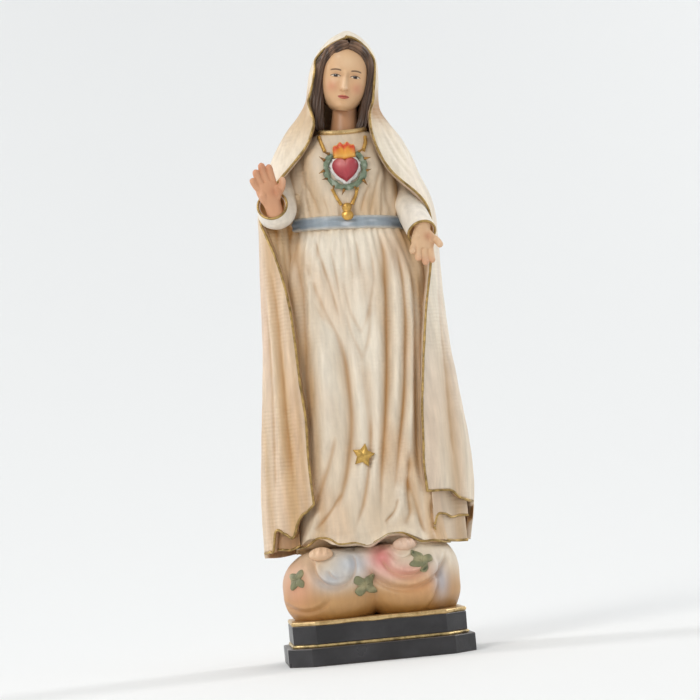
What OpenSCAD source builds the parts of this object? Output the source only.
// Madonna statuette: a standing figure in robe and long veil, on a cloud and a stepped plinth.
// Millimetres, +Z up, the figure faces -Y, and the origin is at the middle of the plinth's underside.

/* [Plinth] */
// Width of the lower tier, side to side
plinth_w = 35.2; // [34:0.2:42]
// Depth of the lower tier, front to back
plinth_d = 26; // [24:0.2:32]
// Height of the lower tier
low_tier_h = 3.4; // [2.5:0.1:3.6]
// Height of the upper tier, up to its gilt rim
high_tier_h = 3.5; // [2.5:0.1:3.6]
// Ledge between the two tiers
ledge = 1.2; // [0.8:0.1:2]
// Cut across each corner, along each side
corner_cut = 4.2; // [2:0.2:6]
// Height of the gilt rim on the upper tier
rim_h = 0.8; // [0.4:0.1:1]
// Height of the gilt bead in the ledge
bead_h = 0.6; // [0.2:0.1:0.7]

/* [Figure] */
// Height of the robe's hem above the table
hem_z = 21.2; // [20.6:0.1:21.6]
// Height of the sash
waist_z = 82.4; // [82:0.1:84]
// Height of the neckline
collar_z = 101; // [100.5:0.1:101.2]
// Height of the top of the veil
top_z = 120; // [119:0.5:122]
// Half width of the robe at the hem
hem_half = 13.8; // [12.8:0.1:14]
// Half width of the robe at the sash
waist_half = 9.4; // [8.6:0.1:9.6]
// Half width of the robe at the chest
chest_half = 9.2; // [8.6:0.1:9.6]
// How far the carved folds stand out
fold_depth = 0.45; // [0:0.05:0.6]
// Wall of the mantle
mantle_wall = 1.4; // [1.2:0.1:1.6]

/* [Head] */
// Width of the head without hair
head_w = 8.8; // [7.8:0.1:8.8]
// Depth of the head, brow to back
head_d = 9.6; // [9:0.1:10]
// Height of the head, chin to crown
head_h = 12.4; // [12:0.1:12.6]
// Lean of the head towards the figure's left, in degrees
head_lean = 10; // [0:1:10]

/* [Heart and chain] */
// Outer diameter of the wreath of thorns
wreath_d = 8.2; // [7.6:0.1:8.4]
// Thickness of the wreath
wreath_t = 1.15; // [0.9:0.05:1.3]
// Width of the heart
heart_w = 4.8; // [4:0.1:5]
// Thickness of the gilt chain
chain_t = 0.5; // [0.4:0.05:0.7]
// Width of the star, point to point
star_w = 4.6; // [3.6:0.1:5]

/* [Joinery] */
// Diameter of the dowel up the middle
dowel_d = 5; // [4:0.1:6]
// Glue gap around each dowel and tenon
glue_gap = 0.05; // [0.02:0.01:0.1]
// Diameter of the tenon on each wrist
tenon_d = 2; // [1.8:0.1:2.4]
// Thickness of the gilt edge lines
gilt_t = 0.6; // [0.5:0.05:0.8]

/* [Hidden] */

plinth_h = low_tier_h + bead_h + high_tier_h + rim_h;
high_w = plinth_w - 2 * ledge;
high_d = plinth_d - 2 * ledge;
dowel_from = 1.2;               // wood left under the dowel
dowel_to = 40;
cols = 48;                      // facets around the robe
mantle_cols = 60;               // facets around the mantle
mantle_rows = 30;
peak_z = top_z - 1.4;           // where the veil's two front edges meet
cloud_top = hem_z - 1;
head_at = [3.6, -0.6, 111];     // middle of the head
heart_at = [1.5, 92.7];         // middle of the heart, seen from the front
socket_r = 2.6;                 // socket for the neck
socket_depth = 4;

// Robe: height, reach to the right, reach to the left, depth to the front, depth to the back
robe_table = [
    [hem_z - 1, -hem_half, hem_half + 1.6, 10.4, 8.4],
    [hem_z + 6, 0.4 - hem_half, hem_half + 1.4, 9.8, 8.2],
    [40, 1.4 - hem_half, hem_half + 0.6, 8.9, 7.8],
    [60, 2.2 - hem_half, hem_half + 0.6, 7.9, 7.2],
    [76, -1 - waist_half, waist_half + 3.6, 6.9, 6.6],
    [waist_z, 1.2 - waist_half, waist_half + 1.6, 6.1, 6.2],
    [88, 1.4 - waist_half, waist_half + 1.4, 6.5, 6.2],
    [93.5, 1.3 - chest_half, chest_half + 1.3, 6.7, 6.1],
    [97.5, 3.2 - chest_half, chest_half - 0.6, 5.6, 5.6],
    [99.8, -3.4, 7.2, 4.4, 4.8],
    [collar_z, -1.2, 5.6, 3.3, 3.7]];

// Mantle: height, reach to the right, reach to the left, depth to the front, depth to the back
mantle_table = [
    [hem_z - 1, -20.0, 20.4, 10.4, 10.6],
    [33, -19.7, 21.2, 10.8, 10.4],
    [41, -19.0, 20.8, 10.6, 10.0],
    [50, -18.0, 19.7, 10.3, 9.6],
    [60, -17.0, 18.7, 9.9, 9.2],
    [72, -16.4, 18.5, 9.4, 8.8],
    [82, -15.8, 18.8, 9.0, 8.6],
    [87, -15.4, 17.8, 8.7, 8.4],
    [91, -14.2, 16.3, 8.2, 8.2],
    [95, -12.4, 14.9, 7.6, 7.9],
    [98.5, -10.4, 13.3, 6.8, 7.5],
    [101.5, -8.5, 11.3, 5.8, 7.0],
    [104, -6.0, 10.1, 5.0, 6.7],
    [107, -4.2, 9.9, 4.8, 6.6],
    [112, -3.2, 10.2, 5.0, 6.6],
    [115, -2.2, 9.8, 4.9, 6.0],
    [117.4, -0.4, 8.3, 4.2, 4.8],
    [119, 1.5, 6.7, 3.0, 3.0],
    [top_z, 3.2, 5.2, 1.2, 0.9]];

// Front edges of the mantle, seen from the front: height, across
edge_right = [
    [peak_z, 4.4], [117.6, 1.8], [115.8, -0.8], [112.4, -1.9], [108.6, -3.0], [106, -3.4],
    [103, -3.1], [99.8, -4.2], [96.6, -6.6], [93.2, -9.9], [90.2, -13], [87, -14.6],
    [84.4, -14.6], [79.6, -13.2], [73, -11.6], [65, -10.6], [54, -10.0], [42, -9.8], [29.8, -9.7]];
edge_left = [
    [peak_z, 4.4], [117, 7.4], [114, 9.0], [110, 8.8], [106.4, 8.4], [103, 7.6],
    [99.6, 7.7], [95.2, 9.0], [91.2, 11.4], [88.2, 14.4], [85.6, 16.6], [82.6, 17.6],
    [78, 17.4], [71, 16.4], [62, 14.8], [51, 13.5], [41, 12.6], [29.8, 12.2]];

// Hem of the mantle from its right front corner, round the back, to its left: part of the way, height
mantle_hem = [
    [0, 29.8], [0.04, 28], [0.06, 24.8], [0.12, 24.4], [0.14, 22.2], [0.2, 21.8], [0.3, 21], [0.5, 20.6],
    [0.7, 20.6], [0.82, 20.8], [0.88, 23], [0.92, 27.6], [0.95, 28.4], [1, 29.8]];
hem_turn = 45;                  // the height where the rows start to follow the hem

// Front line of the robe's hem: across, height
hem_line = [
    [-13.6, 21.4], [-11.6, 21.8], [-9.2, 23.2], [-7.2, 22.9], [-5.4, 21.9], [-2.6, 22], [-0.6, 21.4],
    [1.6, 22.2], [4.2, 23.2], [6.4, 22.9], [9.2, 21.4], [11.8, 21.2], [13.4, 20.7], [15, 20.3]];

// Hair: height, half width, depth to the front, depth to the back
hair_table = [
    [collar_z + 0.6, 4.4, 4.2, 4.6],
    [105, 4.9, 4.6, 4.9],
    [108, 5.0, 4.7, 5.1],
    [112, 5.1, 4.9, 5.2],
    [115, 4.8, 4.6, 4.7],
    [117, 3.9, 3.7, 3.5],
    [118.4, 2.2, 2.0, 1.8],
    [118.8, 0.8, 0.8, 0.7]];
hairline_z = 115.8;
hair_edge = [[hairline_z, 0], [114.6, 2.6], [112, 4.1], [107, 4.3], [collar_z + 0.6, 3.2]];

function row(z, t, i = 0) = // the table's row at height z, by straight lines between rows
    let (up = t[0][0] < t[1][0], a = t[i], b = t[i + 1])
    i >= len(t) - 2 || (up ? z <= b[0] : z >= b[0])
        ? a + (b - a) * max(0, min(1, (z - a[0]) / (b[0] - a[0])))
        : row(z, t, i + 1);

// Folds run from the shoulders to the hem and fade out above
function folds(angle, z, count) =
    fold_depth * min(1, max(0, (100 - z) / 40)) * (cos(count * angle) + 0.5 * cos((count + 5) * angle + 40));

function robe_point(angle, z, grow = 0) =
    let (r = row(z, robe_table), d = sin(angle) < 0 ? r[3] : r[4], f = grow + folds(angle, z, 11))
    [(r[1] + r[2]) / 2 + ((r[2] - r[1]) / 2 + f) * cos(angle), (d + f) * sin(angle), z];

function robe_front(x, z, grow = 0) = // y of the robe's front face at x and z
    let (r = row(z, robe_table), c = (2 * x - r[1] - r[2]) / (r[2] - r[1] + 2 * grow))
    -(r[3] + grow) * sqrt(max(0.02, 1 - c * c));

function mantle_point(angle, z, grow = 0) =
    let (r = row(z, mantle_table), d = sin(angle) < 0 ? r[3] : r[4],
        f = grow + 0.8 * folds(angle, z, 9) * max(0, sin(angle)))
    [(r[1] + r[2]) / 2 + ((r[2] - r[1]) / 2 + f) * cos(angle), (d + f) * sin(angle), z];

// Angle at which the mantle's front reaches x at height z
function mantle_angle(x, z) =
    let (r = row(z, mantle_table)) -acos(max(-1, min(1, (2 * x - r[1] - r[2]) / (r[2] - r[1]))));

// Angle of the mantle at part u of the way round from its right edge by the back to its left edge
function mantle_turn(u, z) =
    let (a = z > peak_z ? -90 : mantle_angle(lookup(z, edge_right), z),
        b = z > peak_z ? -90 : mantle_angle(lookup(z, edge_left), z))
    a + u * (b - 360 - a);

// Point of the mantle's face at part u of the way round and height z before the hem is shaped
function mantle_at(u, z, grow = 0) =
    let (low = z > hem_turn ? z
        : hem_turn - (hem_turn - z) / (hem_turn - hem_z) * (hem_turn - lookup(u, mantle_hem)))
    mantle_point(mantle_turn(u, low), low, grow);

function unit(v) = v / max(norm(v), 1e-6);

function side(way) = // a direction square to the way a line runs
    unit(cross(abs(way[1]) > 0.9 * norm(way) ? [0, 0, 1] : [0, 1, 0], way));

function middle(ring) = [for (i = [1:len(ring)]) 1 / len(ring)] * ring;

// A closed solid through rings of equal counts of points: with a fan over each end, or bored
// through, when the last ring joins the first
module loft(rings, bored = false) {
    n = len(rings[0]);
    m = len(rings);
    points = concat([for (r = rings) each r], bored ? [] : [middle(rings[0]), middle(rings[m - 1])]);
    sides = [for (j = [0:m - (bored ? 1 : 2)], i = [0:n - 1])
        let (a = j * n + i, b = j * n + (i + 1) % n,
            c = (j + 1) % m * n + i, d = (j + 1) % m * n + (i + 1) % n)
        each [[a, c, d], [a, d, b]]];
    ends = [for (i = [0:n - 1]) each [
        [m * n, i, (i + 1) % n],
        [m * n + 1, (m - 1) * n + (i + 1) % n, (m - 1) * n + i]]];
    polyhedron(points, bored ? sides : concat(sides, ends), convexity = 10);
}

// A walled sheet. outer and inner are rows of points from the crown down; the first closed rows
// meet themselves at the front, and the rows below them stay open there
module sheet(outer, inner, closed) {
    n = len(outer[0]) - 1;
    m = len(outer);
    face = m * (n + 1);
    function at(k, j, i) = k * face + j * (n + 1) + (j < closed && i == n ? 0 : i);
    crown = 2 * face;
    points = concat([for (r = outer) each r], [for (r = inner) each r],
        [middle(outer[0]) + [0, 0, 0.05], middle(inner[0]) + [0, 0, 0.05]]);
    walls = [for (j = [0:m - 2], i = [0:n - 1]) each [
        [at(0, j, i), at(0, j + 1, i), at(0, j + 1, i + 1)],
        [at(0, j, i), at(0, j + 1, i + 1), at(0, j, i + 1)],
        [at(1, j, i), at(1, j + 1, i + 1), at(1, j + 1, i)],
        [at(1, j, i), at(1, j, i + 1), at(1, j + 1, i + 1)]]];
    edges = [for (j = [closed - 1:m - 2]) each [
        [at(0, j, 0), at(1, j, 0), at(1, j + 1, 0)], [at(0, j, 0), at(1, j + 1, 0), at(0, j + 1, 0)],
        [at(0, j, n), at(0, j + 1, n), at(1, j + 1, n)], [at(0, j, n), at(1, j + 1, n), at(1, j, n)]]];
    hem = [for (i = [0:n - 1]) each [
        [at(0, m - 1, i), at(1, m - 1, i), at(1, m - 1, i + 1)],
        [at(0, m - 1, i), at(1, m - 1, i + 1), at(0, m - 1, i + 1)]]];
    top = [for (i = [0:n - 1]) each [
        [crown, at(0, 0, i), at(0, 0, i + 1)], [crown + 1, at(1, 0, i + 1), at(1, 0, i)]]];
    polyhedron(points, concat(walls, edges, hem, top), convexity = 10);
}

// A ring of n points of radius r about a point, square to a way
function ring(at, way, r, n) = let (u = side(way), v = cross(unit(way), u))
    [for (i = [0:n - 1]) at + r * (u * cos(-360 * i / n) + v * sin(-360 * i / n))];

// A round bar of the given thickness along a line of points
module bar(path, t, n = 8) {
    m = len(path);
    loft([for (j = [0:m - 1]) ring(path[j], path[min(j + 1, m - 1)] - path[max(j - 1, 0)], t / 2, n)]);
}

module ellipsoid(size, steps = 12, n = 24) {
    loft([for (j = [0:steps]) let (a = -84 + 168 * j / steps)
        [for (i = [0:n - 1]) let (b = -360 * i / n)
            [size[0] / 2 * cos(a) * cos(b), size[1] / 2 * cos(a) * sin(b), size[2] / 2 * sin(a)]]]);
}

// ---- plinth ----

module cut_corner_plate(w, d, h, top = 0) {
    hull() {
        linear_extrude(h - max(top, 0.01)) cut_corner_outline(w, d);
        linear_extrude(h) cut_corner_outline(w - 2 * top, d - 2 * top);
    }
}

module cut_corner_outline(w, d) {
    c = corner_cut;
    polygon([[-w / 2 + c, -d / 2], [w / 2 - c, -d / 2], [w / 2, -d / 2 + c], [w / 2, d / 2 - c],
        [w / 2 - c, d / 2], [-w / 2 + c, d / 2], [-w / 2, d / 2 - c], [-w / 2, -d / 2 + c]]);
}

module dowel_bore(depth) {
    translate([0, 0, -1]) cylinder(d = dowel_d + 2 * glue_gap, h = depth + 1, $fn = 48);
}

module plinth_base() color("#2f2c2b") difference() {
    linear_extrude(low_tier_h) cut_corner_outline(plinth_w, plinth_d);
    translate([0, 0, dowel_from + 1]) dowel_bore(low_tier_h);
}

module plinth_bead() color("goldenrod") translate([0, 0, low_tier_h]) difference() {
    linear_extrude(bead_h) cut_corner_outline(high_w + 0.6, high_d + 0.6);
    dowel_bore(bead_h + 1);
}

module plinth_top() color("#2f2c2b") translate([0, 0, low_tier_h + bead_h]) difference() {
    linear_extrude(high_tier_h) cut_corner_outline(high_w, high_d);
    dowel_bore(high_tier_h + 1);
}

module plinth_rim() color("goldenrod") translate([0, 0, plinth_h - rim_h]) difference() {
    cut_corner_plate(high_w + 0.3, high_d + 0.3, rim_h, 0.5);
    dowel_bore(rim_h + 1);
}

module plinth_dowel() color("burlywood") translate([0, 0, dowel_from])
    cylinder(d = dowel_d, h = dowel_to - dowel_from, $fn = 48);

// ---- cloud ----

// Lobes of the cloud: middle, then full size
cloud_lobes = [
    [[-7.4, -3.6, 13.8], [20.4, 17.4, 14.6]],
    [[7.1, -3.4, 14.0], [20.2, 17.6, 14.4]],
    [[-10.0, 3.4, 14.4], [15.6, 16.6, 13.6]],
    [[9.8, 3.6, 14.2], [15.0, 16.4, 13.4]],
    [[0, 5.2, 14.2], [21, 14.6, 14]]];

// How far a lobe reaches from the axis at an angle and a height
function lobe_reach(lobe, angle, z) =
    let (k = 1 - pow((z - lobe[0][2]) * 2 / lobe[1][2], 2),
        d = [cos(angle) * 2 / lobe[1][0], sin(angle) * 2 / lobe[1][1]],
        o = [-lobe[0][0] * 2 / lobe[1][0], -lobe[0][1] * 2 / lobe[1][1]],
        b = d * o, disc = b * b - (d * d) * (o * o - k))
    disc < 0 ? 0 : (sqrt(disc) - b) / (d * d);

function cloud_reach(angle, z) = max([for (lobe = cloud_lobes) lobe_reach(lobe, angle, z)]);

function cloud_ring(z) = [for (i = [0:63]) let (a = -360 * i / 64)
    cloud_reach(a, z) * [cos(a), sin(a), 0] + [0, 0, z]];

module cloud() color("#e6dccd") {
    bore = dowel_d / 2 + glue_gap;
    loft(concat([for (k = [0:11]) cloud_ring(plinth_h + (cloud_top - plinth_h) * k / 11)],
        [ring([0, 0, cloud_top], [0, 0, 1], bore, 64), ring([0, 0, plinth_h], [0, 0, 1], bore, 64)]),
        bored = true);
}

// Leaf sprigs on the cloud: bearing from the axis, height, tip back, roll and size
sprigs = [[210, 16.6, 8, 6, 0.9], [261, 14.3, 4, 0, 1], [312, 17.4, 30, 24, 0.95]];

module leaf_outline() union() for (a = [45:90:315])
    rotate(a) hull() {
        circle(0.8, $fn = 20);
        translate([1.7, 0]) circle(0.72, $fn = 20);
    }

module leaf_sprig(i) color("#5f7350") {
    s = sprigs[i];
    out = cloud_reach(s[0], s[1]) + 0.2;
    translate([out * cos(s[0]), out * sin(s[0]), s[1]]) rotate([0, 0, s[0] + 90])
        rotate([90 - s[2], 0, s[3]]) scale(s[4]) linear_extrude(0.8, center = true) leaf_outline();
}

module foot(s) color("#f0d0b4")
    translate([s < 0 ? -8 : 5.6, -10.2, hem_z + 0.05]) rotate([0, 0, s * 6]) ellipsoid([4.2, 4.4, 2]);

// ---- robe ----

// The hem rises over each foot
function hem_at(angle) = sin(angle) > -0.2 ? hem_z - 0.9
    : lookup(0.8 + (hem_half + 0.8) * cos(angle), hem_line);

module robe_skirt() color("#eee5d8") {
    bore = dowel_d / 2 + glue_gap;
    angles = [for (i = [0:cols - 1]) -360 * i / cols];
    top = waist_z - 1.3;
    loft(concat(
        [for (z = [dowel_to + 0.2, hem_z - 0.9]) ring([0, 0, z], [0, 0, 1], bore, cols)],
        [for (k = [0:14]) [for (a = angles) robe_point(a, hem_at(a) + (top - hem_at(a)) * k / 14)]]));
}

module robe_bodice() color("#eee5d8") {
    from = waist_z + 1.3;
    loft(concat(
        [for (k = [0:9]) let (z = from + (collar_z - from) * k / 9)
            [for (i = [0:cols - 1]) robe_point(-360 * i / cols, z)]],
        [for (z = [collar_z, collar_z - socket_depth])
            ring([2.3, -0.1, z], [0, 0, 1], socket_r + glue_gap, cols)]));
}

module sash() color("#a9b3bf")
    loft([for (k = [[-1.25, 0], [-0.9, 0.35], [0.9, 0.35], [1.25, 0]])
        [for (i = [0:cols - 1]) robe_point(-360 * i / cols, waist_z + k[0], k[1])]]);

module hem_gilt() color("goldenrod")
    bar([for (p = hem_line) [p[0], robe_front(p[0], p[1], 0.7), p[1]]], gilt_t);

module collar_gilt() color("goldenrod")
    bar([for (a = [190:10:350]) [2.2 + 3.7 * cos(a), -0.1 + 3.7 * sin(a), collar_z + 0.32]], gilt_t);

// ---- mantle ----

// Row heights: close together at the crown, where the veil turns over
mantle_heights = [for (j = [0:mantle_rows]) let (t = j / mantle_rows)
    j < 8 ? top_z - 8 * pow(j / 8, 2) : 112 - (112 - hem_z) * (j - 8) / (mantle_rows - 8)];
mantle_closed = len([for (z = mantle_heights) if (z > peak_z) z]);

function mantle_face(grow, drop) = [for (z = mantle_heights) [for (i = [0:mantle_cols])
    mantle_at(i / mantle_cols, z, grow) - [0, 0, z > 100 ? drop * pow((z - 100) / (top_z - 100), 2) : 0]]];

module mantle() color("#f1e9dd")
    sheet(mantle_face(0, 0), mantle_face(-0.8 * mantle_wall, mantle_wall), mantle_closed);

module mantle_gilt(u) color("goldenrod") bar([for (j = [mantle_closed:mantle_rows])
    mantle_at(u, mantle_heights[j], 0.1) + [u < 0.5 ? 0.35 : -0.35, -0.2, 0]], gilt_t);

// ---- head and hair ----

// Head and neck: height above the chin, half width, depth to the face, depth to the back
head_table = [
    [-7.2, 2.4, 2.4, 2.4],
    [-2.2, 2.4, 2.4, 2.5],
    [-0.6, 2.6, 2.9, 3.2],
    [0, 2.1, 4.2, 3.5],
    [1.2, 2.7, 4.5, 3.8],
    [3, 3.4, 4.6, 4.2],
    [5, 3.9, 4.55, 4.6],
    [7, head_w / 2, 4.6, 4.8],
    [9, 4.1, 4.55, 4.7],
    [10.6, 3.5, 3.9, 4],
    [11.8, 2.2, 2.5, 2.6],
    [head_h, 0.6, 0.7, 0.7]];
head_rows = [-7.2, -4, -2.2, -1.2, -0.5, 0, 0.6, 1.2, 2, 2.6, 3.2, 3.8, 4.4, 5.2, 6, 7, 8, 9, 10,
    10.8, 11.5, 12, head_h];
chin_z = head_at[2] - head_h / 2;

// The head's middle line leans over the neck
function head_axis(h) = [
    2.3 + (head_at[0] - 2.3) * min(1, max(0, (h + 3) / 9)) + sin(head_lean) * max(0, h - 6) / 2,
    -0.1 - 0.5 * min(1, max(0, (h + 2) / 4)), 0];

function head_point(angle, h) =
    let (r = row(h, head_table), d = sin(angle) < 0 ? r[2] * head_d / 9.6 : r[3] * head_d / 9.6,
        nose = 0.95 * exp(-pow((angle + 90) / 9, 2)) * exp(-pow((h - 4.4) / (h < 4.4 ? 0.7 : 1.6), 2)))
    head_axis(h) + [r[1] * head_w / 8.4 * cos(angle), d * sin(angle) - nose, chin_z + h];

module head() color("#e9caa8")
    loft([for (h = head_rows) [for (i = [0:35]) head_point(-10 * i, h)]]);

hair_heights = [for (j = [0:16])
    j < 6 ? 118.8 - 3.4 * pow(j / 6, 2) : 115.2 - (115.2 - collar_z - 0.6) * (j - 6) / 10];
hair_closed = len([for (z = hair_heights) if (z > hairline_z) z]);

function hair_point(u, z, grow) =
    let (r = row(z, hair_table),
        a = z > hairline_z ? -90 : -90 - asin(min(0.98, lookup(z, hair_edge) / r[1])),
        angle = a - u * (540 + 2 * a), d = sin(angle) < 0 ? r[2] : r[3])
    head_axis(z - chin_z) + [(r[1] + grow) * cos(angle), (d + grow) * sin(angle), z];

function hair_face(grow, drop) = [for (z = hair_heights) [for (i = [0:36])
    hair_point(i / 36, z, grow) - [0, 0, drop * max(0, z - 112) / 6.8]]];

module hair() color("#4a3426") sheet(hair_face(0, 0), hair_face(-0.5, 0.6), hair_closed);

// ---- sleeves and hands ----

// Stations along each arm: middle and radius
arm_right = [[[-10.1, -0.2, 93], 1.3], [[-10.6, -0.6, 90.4], 2.1], [[-11.2, -1.6, 87.8], 2.7],
    [[-12.1, -3.8, 86.4], 3.1], [[-12.7, -6.4, 86.5], 3], [[-12.9, -8.6, 86.9], 2.8]];
arm_left = [[[12, -0.2, 92], 1.2], [[13, -0.6, 88.7], 2], [[13.5, -1.4, 85.4], 2.5],
    [[14.1, -3.8, 82.5], 2.9], [[14.6, -6.4, 80.5], 2.8], [[14.8, -8.6, 79.4], 2.7]];
function arm(s) = s < 0 ? arm_right : arm_left;
function arm_end(s) = arm(s)[len(arm(s)) - 1];
function cuff_way(s) = unit(arm_end(s)[0] - arm(s)[len(arm(s)) - 2][0]);

module along(at, way) translate(at)
    multmatrix([[side(way)[0], cross(way, side(way))[0], way[0], 0],
        [side(way)[1], cross(way, side(way))[1], way[1], 0],
        [side(way)[2], cross(way, side(way))[2], way[2], 0], [0, 0, 0, 1]]) children();

// The sleeve runs out to its cuff and turns in to a socket for the wrist
module sleeve(s) color("#f1e9dd") {
    a = arm(s);
    m = len(a);
    end = arm_end(s);
    way = cuff_way(s);
    socket = tenon_d / 2 + glue_gap;
    loft(concat(
        [for (j = [0:m - 1]) ring(a[j][0], a[min(j + 1, m - 1)][0] - a[max(j - 1, 0)][0], a[j][1], 28)],
        [for (k = [[0, end[1] - 0.6], [-1.6, end[1] - 0.8], [-1.9, socket], [-4, socket]])
            ring(end[0] + k[0] * way, way, k[1], 28)]));
}

module cuff_gilt(s) color("goldenrod") along(arm_end(s)[0] + (gilt_t / 2 + 0.03) * cuff_way(s), cuff_way(s))
    rotate_extrude($fn = 48) translate([arm_end(s)[1] - gilt_t / 2, 0]) circle(d = gilt_t, $fn = 16);

// Four fingers and the thumb of a hand that points up +Z with its palm to -Y: root, tip and thickness
fingers = [
    [[-1.8, 0, 3.4], [-2.6, -0.3, 5.3], 1.4],
    [[-0.8, 0, 4], [-1.3, -0.2, 6.7], 1.5],
    [[0.5, 0, 4], [0.2, -0.2, 7.6], 1.5],
    [[1.5, 0, 3.8], [1.4, -0.3, 7], 1.4],
    [[1.3, -0.3, 1.2], [2.9, -0.9, 3.7], 1.3]];

// The wrist's tenon runs back along the way the hand leaves its cuff
module hand(s) color("#e9b996") {
    along(arm_end(s)[0] - 3.6 * cuff_way(s), cuff_way(s)) cylinder(d = tenon_d, h = 4.6, $fn = 32);
    translate(arm_end(s)[0] + 1.2 * cuff_way(s)) rotate(s < 0 ? [6, -12, 8] : [-34, 178, 0])
        mirror([s < 0 ? 0 : 1, 0, 0]) {
        hull() {
            sphere(1.5, $fn = 20);
            for (x = [-1.8, 1.8]) translate([x, 0, 3.6]) sphere(0.8, $fn = 16);
        }
        for (f = fingers) hull() {
            translate(f[0]) sphere(d = f[2], $fn = 14);
            translate(f[1]) sphere(d = f[2] * 0.85, $fn = 14);
        }
    }
}

// ---- heart, wreath, chain and star ----

heart_y = robe_front(heart_at[0], heart_at[1]);

module facing(x, z, y) translate([x, y, z]) rotate([90, 0, 0]) children();

module heart_outline(w) offset(0.3, $fn = 24) offset(-0.3) union() {
    rotate(45) square(w * 0.56, center = true);
    for (s = [-1, 1]) translate([s * w * 0.2, w * 0.2]) circle(d = w * 0.57, $fn = 40);
}

module heart() color("#b5505a") facing(heart_at[0], heart_at[1] - 0.1, heart_y - 0.02)
    linear_extrude(1.3) heart_outline(heart_w);

module heart_flame() color("#e2703a") facing(heart_at[0] + 0.1, heart_at[1] + 2.9, heart_y - 0.02)
    linear_extrude(0.9) offset(0.25, $fn = 24)
        polygon([[-1.4, 0], [1.4, 0], [1.9, 1.9], [1, 1.5], [0, 2.3], [-1, 1.5], [-1.9, 1.9]]);

wreath_r = (wreath_d - wreath_t) / 2;
wreath_y = heart_y - wreath_t / 2;

module thorn_wreath() color("#6f8268") facing(heart_at[0], heart_at[1], wreath_y) difference() {
    rotate_extrude($fn = 64) translate([wreath_r, 0]) circle(d = wreath_t, $fn = 20);
    translate([0, wreath_r, 0]) cube([5.2, 4, 4], center = true);
}

module wreath_thorns() color("#9a6a3c") facing(heart_at[0], heart_at[1], wreath_y)
    for (a = [18, 345, 320, 235, 198, 148]) rotate(a) translate([wreath_d / 2 - 0.05, 0, 0])
        rotate([0, 90, 0]) cylinder(r1 = 0.35, r2 = 0.05, h = 1.3, $fn = 16);

module chain(points) color("goldenrod")
    bar([for (p = points) [p[0], robe_front(p[0], p[1], chain_t / 2 + 0.1), p[1]]], chain_t);

module chain_upper() {
    chain([[-2.7, 99.3], [-2.4, 97.9], [-1.9, 96.7]]);
    chain([[6.1, 99.1], [5.8, 97.7], [5.3, 96.5]]);
}

module chain_lower() {
    chain([[-1.3, 88.8], [-0.5, 87.4], [0.5, 86.2]]);
    chain([[3.6, 88.6], [2.9, 87.2], [1.9, 86.2]]);
}

module chain_pendant() color("goldenrod") translate([1.2, robe_front(1.2, 85) - 1.3, 83.9])
    rotate_extrude($fn = 48)
        polygon([[0, 0], [0.7, 0.15], [1.05, 0.7], [0.95, 1.2], [0.6, 1.5], [0.8, 1.8], [0.55, 2.3], [0, 2.4]]);

module robe_star() color("goldenrod") facing(0.6, 39.3, robe_front(0.6, 39.3, fold_depth) - 0.05) rotate(-12)
    linear_extrude(0.7) polygon([for (i = [0:9])
        let (r = (i % 2 == 0 ? 1 : 0.46) * star_w / 2, a = 90 + 36 * i) [r * cos(a), r * sin(a)]]);

plinth_base();
plinth_bead();
plinth_top();
plinth_rim();
plinth_dowel();
cloud();
leaf_sprig(0);  // leaf_sprig_right
leaf_sprig(1);  // leaf_sprig_middle
leaf_sprig(2);  // leaf_sprig_left
foot(-1);  // foot_right
foot(1);  // foot_left
robe_skirt();
robe_bodice();
sash();
hem_gilt();
collar_gilt();
mantle();
mantle_gilt(0);  // mantle_gilt_right
mantle_gilt(1);  // mantle_gilt_left
head();
hair();
sleeve(-1);  // sleeve_right
sleeve(1);  // sleeve_left
cuff_gilt(-1);  // cuff_gilt_right
cuff_gilt(1);  // cuff_gilt_left
hand(-1);  // hand_right
hand(1);  // hand_left
heart();
heart_flame();
thorn_wreath();
wreath_thorns();
chain_upper();
chain_lower();
chain_pendant();
robe_star();
